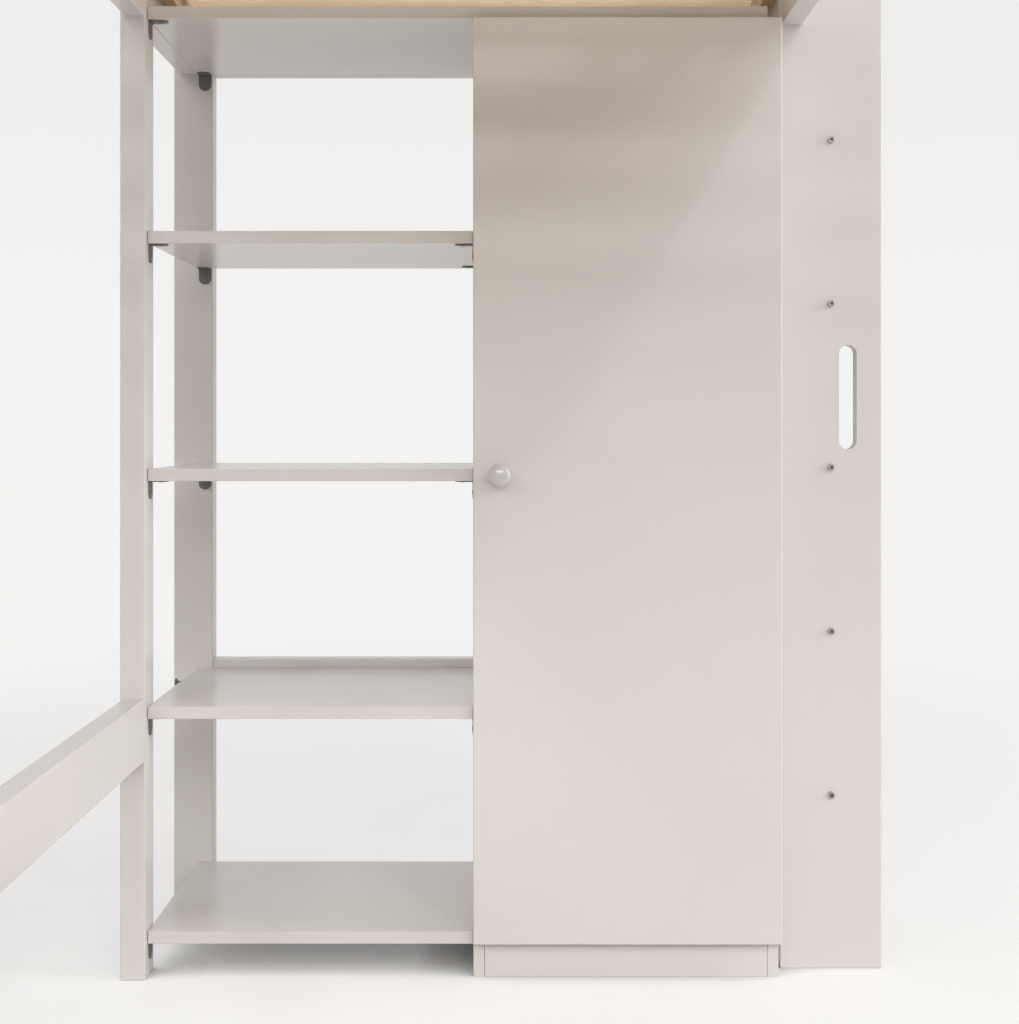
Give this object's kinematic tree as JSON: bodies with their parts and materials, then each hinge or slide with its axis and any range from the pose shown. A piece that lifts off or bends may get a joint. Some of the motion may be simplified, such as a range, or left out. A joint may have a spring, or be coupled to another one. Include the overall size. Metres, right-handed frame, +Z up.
{
  "type": "loft bed",
  "caption": "Loft bed on slim posts with a slatted platform and guard rails, open shelves and a hinged wardrobe under one end, and an upright slotted ladder beside them.",
  "frame": {"origin": "on the floor, under the middle of the bed's outer box", "axes": "+X towards the ladder side, +Y along the bed towards the wardrobe end, +Z up"},
  "size_m": [1.114, 2.108, 1.854],
  "materials": {
    "lacquered_wood": "smooth satin greige lacquer on wood and board",
    "slat_wood": "bare planed wood",
    "dark_metal": "dark grey-brown satin coat",
    "plain_steel": "zinc-plated steel, dull",
    "bright_tube": "bright plated tube and sockets"
  },
  "bodies": {
    "frame": {"hanging_rail": "bright_tube", "hanging_rail_sockets": "bright_tube", "hinge_arms": "plain_steel", "ladder_bolts": "plain_steel", "ladder_far_stringer": "lacquered_wood", "ladder_near_stringer": "lacquered_wood", "ladder_tread_1": "lacquered_wood", "ladder_tread_2": "lacquered_wood", "ladder_tread_3": "lacquered_wood", "ladder_tread_4": "lacquered_wood", "ladder_tread_5": "lacquered_wood", "left_bay_cleat": "slat_wood", "left_bay_guard_rail_high": "lacquered_wood", "left_bay_guard_rail_low": "lacquered_wood", "left_bay_rail": "lacquered_wood", "left_cleat": "slat_wood", "left_guard_rail_high": "lacquered_wood", "left_guard_rail_low": "lacquered_wood", "left_lower_rail": "lacquered_wood", "left_platform_rail": "lacquered_wood", "mid_left_post": "lacquered_wood", "near_guard_rail_high": "lacquered_wood", "near_guard_rail_low": "lacquered_wood", "near_left_post": "lacquered_wood", "near_lower_rail": "lacquered_wood", "near_platform_rail": "lacquered_wood", "near_right_post": "lacquered_wood", "rear_guard_rail_high": "lacquered_wood", "rear_guard_rail_low": "lacquered_wood", "rear_left_post": "lacquered_wood", "rear_lower_rail": "lacquered_wood", "rear_platform_rail": "lacquered_wood", "rear_right_post": "lacquered_wood", "right_bay_cleat": "slat_wood", "right_bay_rail": "lacquered_wood", "right_cleat": "slat_wood", "right_guard_rail_high": "lacquered_wood", "right_guard_rail_low": "lacquered_wood", "right_platform_rail": "lacquered_wood", "shelf_1": "lacquered_wood", "shelf_2": "lacquered_wood", "shelf_3": "lacquered_wood", "shelf_4": "lacquered_wood", "shelf_brackets": "dark_metal", "slats": "slat_wood", "top_board": "lacquered_wood", "wardrobe_back": "lacquered_wood", "wardrobe_floor": "lacquered_wood", "wardrobe_hat_shelf": "lacquered_wood", "wardrobe_left_side": "lacquered_wood", "wardrobe_lid": "lacquered_wood", "wardrobe_plinth": "lacquered_wood", "wardrobe_right_side": "lacquered_wood"},
    "door": {"wardrobe_door": "lacquered_wood", "hinge_cups": "plain_steel", "door_knob": "lacquered_wood", "knob_screw": "plain_steel"}
  },
  "joints": [
    {"name": "door_hinge", "type": "hinge", "parent": "frame", "child": "door", "pos_m": [0.394, 0.602, 0.72], "axis": [0, 0, 1], "range_deg": [0, 95]}
  ]
}
